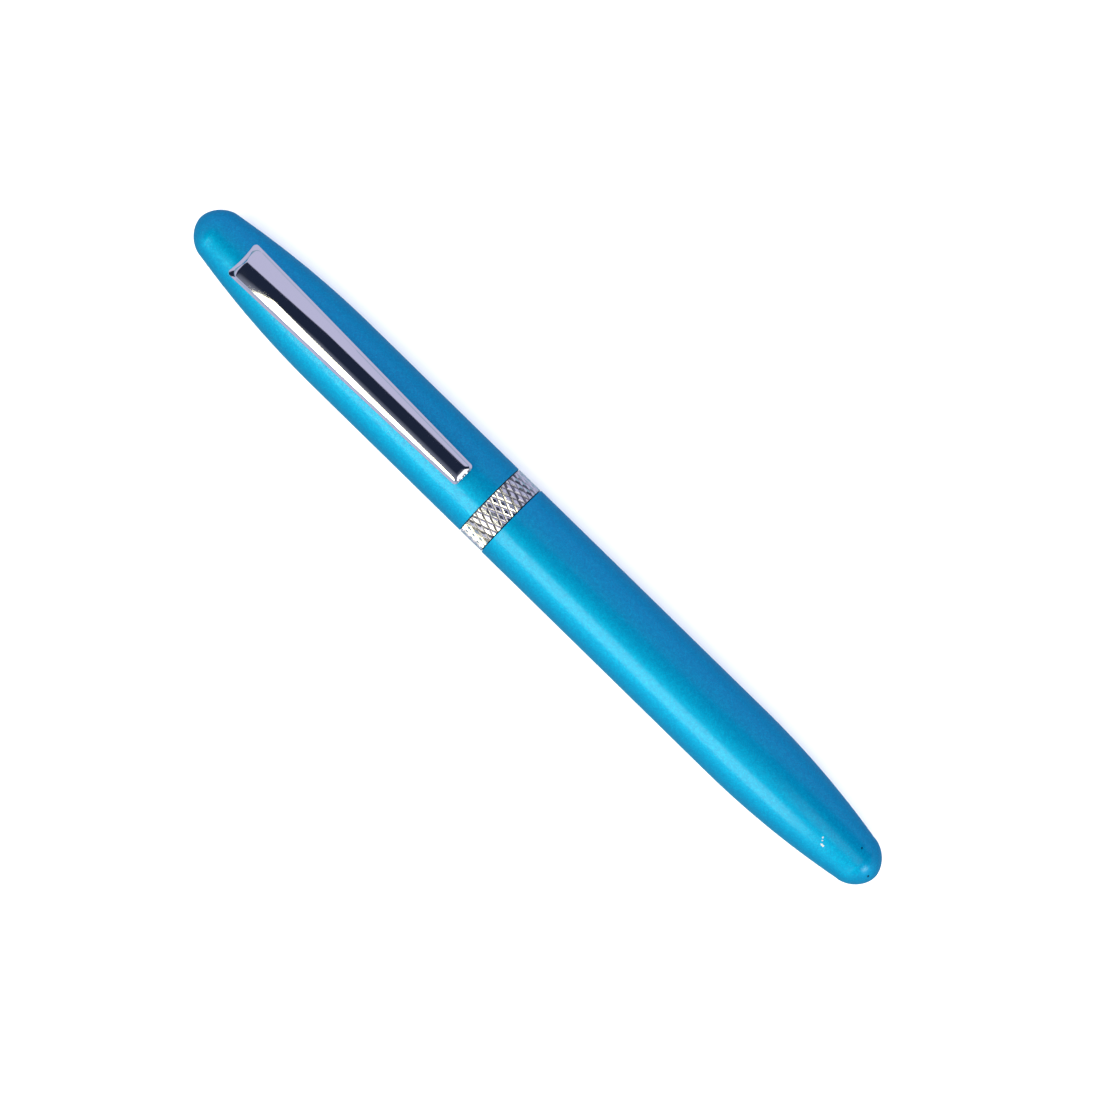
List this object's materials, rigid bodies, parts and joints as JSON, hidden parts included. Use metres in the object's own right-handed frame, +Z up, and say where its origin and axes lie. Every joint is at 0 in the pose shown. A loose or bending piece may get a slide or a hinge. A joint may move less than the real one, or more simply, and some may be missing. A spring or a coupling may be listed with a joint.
{
  "type": "rollerball pen",
  "caption": "Capped rollerball pen with tapered round ends, a knurled band at the cap's mouth and a sprung pocket clip.",
  "frame": {"origin": "under the middle of the pen's length, on the surface that the pen lies on", "axes": "+X along the pen towards the writing tip and the cap's end, +Z up through the pocket clip, +Y across the pen"},
  "size_m": [0.138, 0.0126, 0.0146],
  "materials": {
    "teal_paint": "satin",
    "chrome": "polished",
    "knurled_chrome": "gloss",
    "brass": "satin",
    "steel": "satin",
    "black_plastic": "gloss",
    "grey_plastic": "satin",
    "white_plastic": "satin",
    "ink_fibre": "matte",
    "rubber": "matte"
  },
  "bodies": {
    "barrel": {"barrel_shell": "teal_paint", "barrel_thread_bush": "brass", "spring_seat": "white_plastic", "refill_spring": "steel"},
    "o_ring": {"section_o_ring": "rubber"},
    "section": {"section_thread": "brass", "section_trim_ring": "chrome", "grip_section": "black_plastic", "section_nose": "chrome"},
    "catch_ring": {"catch_ring": "steel"},
    "refill": {"refill_end_plug": "white_plastic", "refill_tube": "grey_plastic", "ink_fibre": "ink_fibre", "refill_front": "black_plastic", "feed_rod": "white_plastic", "refill_tip": "steel", "writing_ball": "steel"},
    "cap": {"cap_shell": "teal_paint", "cap_band": "knurled_chrome", "cap_sleeve": "black_plastic", "inner_cap": "white_plastic", "clip_holder": "brass"},
    "clip": {"clip_arm": "chrome"}
  },
  "joints": [
    {"name": "section_advance", "type": "slide", "parent": "barrel", "child": "o_ring", "axis": [1, 0, 0], "range_m": [0, 0.00626]},
    {"name": "section_turn", "type": "hinge", "parent": "o_ring", "child": "section", "pos_m": [0.0053, 0, 0.00625], "axis": [1, 0, 0], "range_deg": [0, 1800]},
    {"name": "cap_turn", "type": "hinge", "parent": "section", "child": "catch_ring", "pos_m": [0.0053, 0, 0.00625], "axis": [1, 0, 0], "continuous": true},
    {"name": "cap_pull", "type": "slide", "parent": "catch_ring", "child": "cap", "axis": [1, 0, 0], "range_m": [0, 0.055], "deforming": ["catch_ring"]},
    {"name": "clip_flex", "type": "hinge", "parent": "cap", "child": "clip", "pos_m": [0.058, 0, 0.01085], "axis": [0, 1, 0], "range_deg": [0, 4], "stiffness_Nm_per_rad": 2.1, "springref_deg": -1.15},
    {"name": "refill_float", "type": "slide", "parent": "section", "child": "refill", "axis": [-1, 0, 0], "range_m": [0, 0.0012], "stiffness_N_per_m": 200, "springref_m": -0.003, "deforming": ["refill_spring"]}
  ],
  "couplings": [
    {"joint": "section_advance", "follows": "section_turn", "m_per_rad": 0.00019894}
  ]
}
